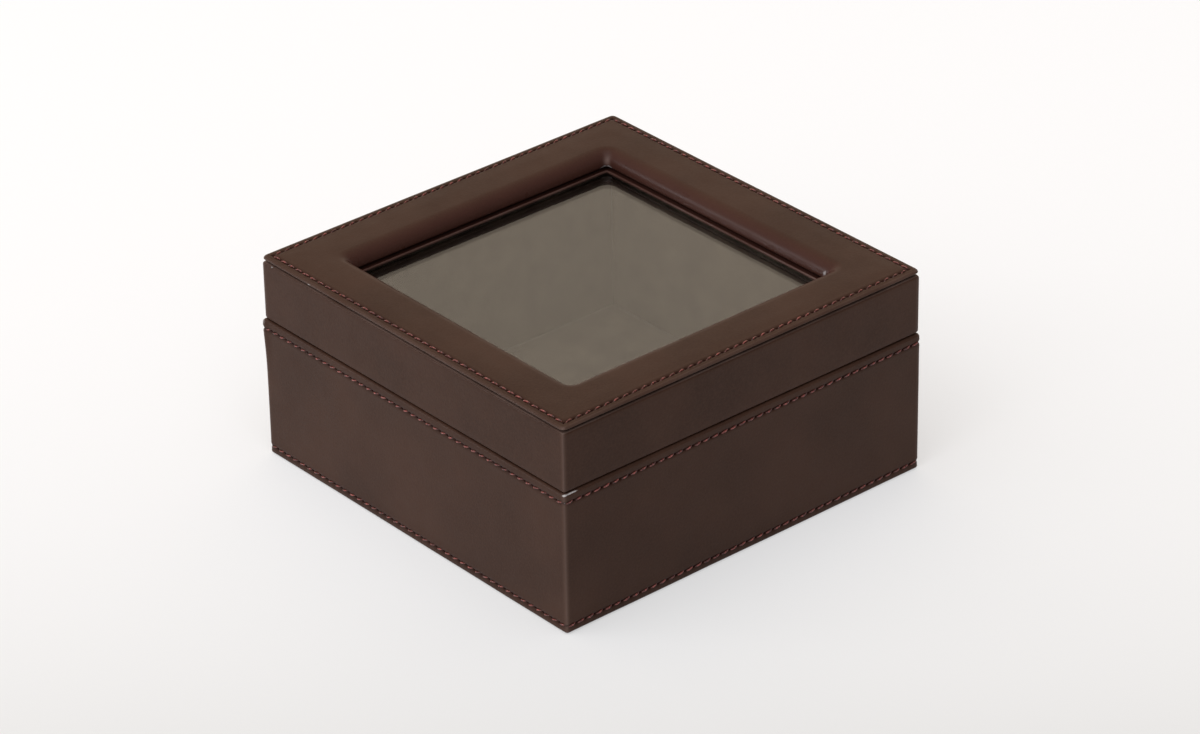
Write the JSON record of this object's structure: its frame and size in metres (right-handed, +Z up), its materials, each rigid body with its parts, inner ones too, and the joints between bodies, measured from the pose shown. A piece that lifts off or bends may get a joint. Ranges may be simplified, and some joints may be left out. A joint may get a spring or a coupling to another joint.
{
  "type": "jewellery box with window lid",
  "caption": "Square leather-wrapped box for cufflinks, with a padded, stitched lid round a glass window, suede lining and a lid hinged at the back.",
  "frame": {"origin": "middle of the underside, on the table, centred on the box without its hinge barrels", "axes": "+Z up, the front edge that lifts faces -Y, the hinges are at +Y, +X to the right seen from the front"},
  "size_m": [0.18, 0.1833, 0.0885],
  "materials": {
    "leather": "satin",
    "suede": "matte",
    "felt": "matte",
    "card": "matte",
    "fibreboard": "matte",
    "foam": "matte",
    "glass": "gloss",
    "brass": "satin",
    "screw_brass": "satin"
  },
  "bodies": {
    "base": {"base_front_board": "fibreboard", "base_back_board": "fibreboard", "base_left_board": "fibreboard", "base_right_board": "fibreboard", "base_bottom_board": "fibreboard", "base_leather_wrap": "leather", "underside_filler_card": "card", "underside_cover": "felt", "base_front_lining": "suede", "base_back_lining": "suede", "base_left_lining": "suede", "base_right_lining": "suede", "floor_pad": "suede", "left_hinge_base_leaf": "brass", "right_hinge_base_leaf": "brass", "left_hinge_pin": "brass", "right_hinge_pin": "brass", "base_hinge_screws": "screw_brass"},
    "lid": {"lid_front_board": "fibreboard", "lid_back_board": "fibreboard", "lid_left_board": "fibreboard", "lid_right_board": "fibreboard", "lid_front_rail": "fibreboard", "lid_back_rail": "fibreboard", "lid_left_rail": "fibreboard", "lid_right_rail": "fibreboard", "lid_front_padding": "foam", "lid_back_padding": "foam", "lid_left_padding": "foam", "lid_right_padding": "foam", "lid_top_leather": "leather", "lid_side_leather": "leather", "window_bezel": "leather", "window_glass": "glass", "glass_front_retainer": "suede", "glass_back_retainer": "suede", "glass_left_retainer": "suede", "glass_right_retainer": "suede", "lid_front_lining": "suede", "lid_back_lining": "suede", "lid_left_lining": "suede", "lid_right_lining": "suede", "left_hinge_lid_leaf": "brass", "right_hinge_lid_leaf": "brass", "lid_hinge_screws": "screw_brass"}
  },
  "joints": [
    {"name": "lid_hinge", "type": "hinge", "parent": "base", "child": "lid", "pos_m": [0, 0.0916, 0.06035], "axis": [-1, 0, 0], "range_deg": [0, 95]}
  ]
}
